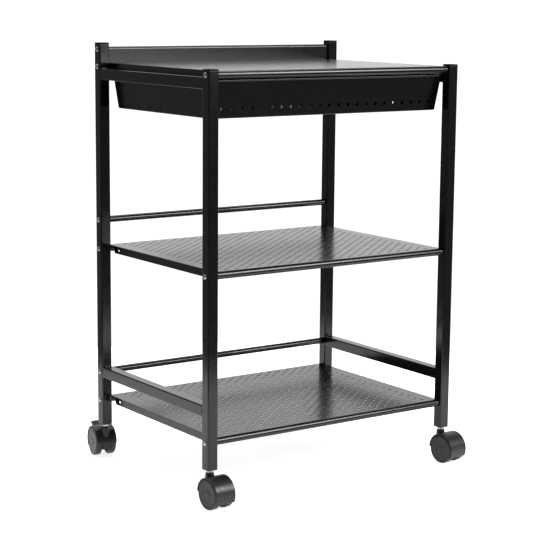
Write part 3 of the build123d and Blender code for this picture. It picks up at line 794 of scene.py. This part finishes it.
def make_wheel(name, side, side_name):
    body = f"{name}_caster_{side_name}_wheel"
    wheel = lathe(body + "_disc", wheel_inside() + wheel_profile(), 72)
    if side < 0:
        move(wheel, Matrix.Diagonal((-1, 1, 1, 1)))
    move(wheel, caster_place(name) @ Matrix.Translation((0, TRAIL, WHEEL_R)))
    finish_piece(wheel, body, "wheel_plastic", DISC_PLASTIC, body, angle=30)
    wheel.data.materials.append(TREAD)
    centre = caster_place(name) @ Vector((0, TRAIL, WHEEL_R))
    axis = Vector(JOINTS[f"{name}_{side_name}_wheel_spin"]["axis"])
    for face in wheel.data.polygons:
        arm = face.center - centre
        radial = (arm - axis * arm.dot(axis)).length
        if radial > WHEEL_R - 0.3 * MM:
            face.material_index = 1


def make_brake_lever(name):
    """Rocking pedal: an arm on the pin and a ribbed toe pad."""
    width, length, thickness = PEDAL
    arm = bar("arm", (-BRAKE_ARM_HALF, -1 * MM, -2 * MM), (BRAKE_ARM_HALF, BRAKE_ARM, 2 * MM), 0.5 * MM)
    eye = rounded_rod("eye", LEVER_EYE, -BRAKE_ARM_HALF, BRAKE_ARM_HALF, 0.4 * MM, 24)
    start = BRAKE_ARM - 2 * MM
    outline = rounded_rectangle(width, length + 2 * MM, 2.5 * MM)
    pad = plate("pad", outline, [], thickness - 0.6 * MM, 0.6 * MM, 3)
    move(pad, Matrix.Translation((0, start + (length + 2 * MM) / 2, 0.2 * MM)))
    parts = [arm, eye, pad]
    for i in range(PEDAL_RIBS):
        y = start + (3.4 + 2.4 * i) * MM
        reach = width / 2 - 2.5 * MM
        parts.append(bar("rib", (-reach, y, 0.8 * MM), (reach, y + 1.1 * MM, 2 * MM), 0.25 * MM))
    angle = math.radians(BRAKE_ANGLE)
    place = (0, TRAIL + BRAKE_RADIUS * math.cos(angle), WHEEL_R + BRAKE_RADIUS * math.sin(angle))
    tilt = Matrix.Rotation(math.radians(BRAKE_TILT), 4, "X")
    lever = joined(name + "_brake_pedal", parts)
    move(lever, caster_place(name) @ Matrix.Translation(place) @ tilt)
    finish_piece(lever, name + "_caster_brake", "lever_plastic", LEVER_PLASTIC, name + "_caster_brake_lever")


def make_caster(name):
    make_housing(name, name + "_caster")
    make_wheel(name, -1, "left")
    make_wheel(name, 1, "right")
    if name.startswith("rear"):
        make_brake_lever(name)


# ---------- carried-over CAD nodes ----------
def dress_cad_nodes():
    """Gives each CAD node that still shows its finish."""
    finishes = {
        "_drawer_runner": SHEET_COAT,
        "_caster_socket": CAP_PLASTIC,
        "_inserts": BARE_STEEL,
        "_stem": SCREW_STEEL,
        "_axle": BARE_STEEL,
        "_brake_pin": BARE_STEEL,
        "runner_screws": SCREW_STEEL,
    }
    for node, obj in frame["nodes"].items():
        for ending, material in finishes.items():
            if node.endswith(ending):
                obj.data.materials.clear()
                obj.data.materials.append(material)


# ---------- studio ----------
def make_floor():
    """Plain pale round table top under the stand, faintly lit from below."""
    bm = bmesh.new()
    bmesh.ops.create_circle(bm, cap_ends=True, segments=96, radius=FLOOR_RADIUS)
    floor = from_bmesh("studio_floor", bm)
    nodes = Nodes("pale_floor")
    shade = nodes.noise(3.0, 2.0)
    nodes.link(nodes.mixed(shade, (0.88, 0.88, 0.88), (0.90, 0.90, 0.90)), nodes.shader.inputs["Base Color"])
    nodes.set(Roughness=0.7, Emission_Color=(1.0, 1.0, 1.0, 1.0), Emission_Strength=FLOOR_GLOW)
    floor.data.materials.append(nodes.material)


def make_world():
    """White surroundings behind the stand and dim ones in front of it. Low down, brighter to the right."""
    world = bpy.data.worlds.new("studio")
    bpy.context.scene.world = world
    world.use_nodes = True
    tree = world.node_tree
    back = tree.nodes["Background"]
    direction = tree.nodes.new("ShaderNodeTexCoord").outputs["Generated"]

    def along(axis, low_at, high_at, low, high):
        """Strength that runs from low to high along an axis."""
        part = tree.nodes.new("ShaderNodeVectorMath")
        part.operation = "DOT_PRODUCT"
        part.inputs[1].default_value = axis
        tree.links.new(direction, part.inputs[0])
        ramp = tree.nodes.new("ShaderNodeMapRange")
        ramp.interpolation_type = "SMOOTHSTEP"
        for name, value in zip(("From Min", "From Max", "To Min", "To Max"), (low_at, high_at, low, high)):
            ramp.inputs[name].default_value = value
        tree.links.new(part.outputs["Value"], ramp.inputs["Value"])
        return ramp.outputs["Result"]

    def combine(operation, *values):
        node = tree.nodes.new("ShaderNodeMath")
        node.operation = operation
        for socket, value in zip(node.inputs, values):
            if isinstance(value, float):
                socket.default_value = value
            else:
                tree.links.new(value, socket)
        return node.outputs["Value"]

    away = along(AWAY, 0.45, 0.93, WORLD_FRONT, WORLD_BACK)
    across = along(RIGHTWARD, -0.12, 0.13, -0.15, 0.25)
    above = along((0.0, 0.0, 1.0), 0.0, 0.03, 0.0, 1.0)
    higher = along((0.0, 0.0, 1.0), 0.048, 0.06, 0.0, 1.0)
    low_band = combine("MULTIPLY", across, combine("SUBTRACT", above, higher))
    high_band = combine("MULTIPLY", higher, WORLD_HIGH)
    near_back = along(AWAY, 0.8, 0.95, 0.0, 1.0)
    change = combine("MULTIPLY", combine("ADD", low_band, high_band), near_back)
    tree.links.new(combine("ADD", away, change), back.inputs["Strength"])
    back.inputs["Color"].default_value = (1.0, 1.0, 1.0, 1.0)


def area_light(name, place, target, size, power):
    light = bpy.data.lights.new(name, "AREA")
    light.shape = "RECTANGLE"
    light.size, light.size_y = size
    light.energy = power
    obj = bpy.data.objects.new(name, light)
    obj.location = place
    obj.rotation_mode = "QUATERNION"
    obj.rotation_quaternion = (Vector(target) - Vector(place)).to_track_quat("-Z", "Y")
    bpy.context.scene.collection.objects.link(obj)


def make_camera():
    """The photographer's place: left of the front, a little above the top deck."""
    camera = bpy.data.cameras.new("camera")
    camera.lens = CAMERA_LENS
    camera.sensor_width = CAMERA_SENSOR
    obj = bpy.data.objects.new("camera", camera)
    obj.location = CAMERA_PLACE
    turn, tilt = math.radians(CAMERA_TURN), math.radians(CAMERA_TILT)
    aim = Vector((math.sin(turn) * math.cos(tilt), math.cos(turn) * math.cos(tilt), math.sin(tilt)))
    level = aim.to_track_quat("-Z", "Y")
    obj.rotation_mode = "QUATERNION"
    obj.rotation_quaternion = level @ Quaternion((0, 0, 1), math.radians(CAMERA_ROLL))
    bpy.context.scene.collection.objects.link(obj)
    bpy.context.scene.camera = obj
    bpy.context.scene.view_settings.view_transform = "Standard"


make_camera()
make_floor()
make_world()
for light in LIGHTS:
    area_light(*light)
for corner_name in CORNERS:
    make_post(corner_name)
    make_cap(corner_name)
    make_caster(corner_name)
for side_name in ("left", "right"):
    make_rail(side_name + "_top_rail")
    make_rail(side_name + "_bottom_rail")
for tube_name in ("rear_middle_tube", "rear_bottom_tube"):
    make_rear_tube(tube_name)
for shelf_name in SHELVES:
    make_shelf(shelf_name)
make_guard()
make_drawer()
make_all_screws()
dress_cad_nodes()
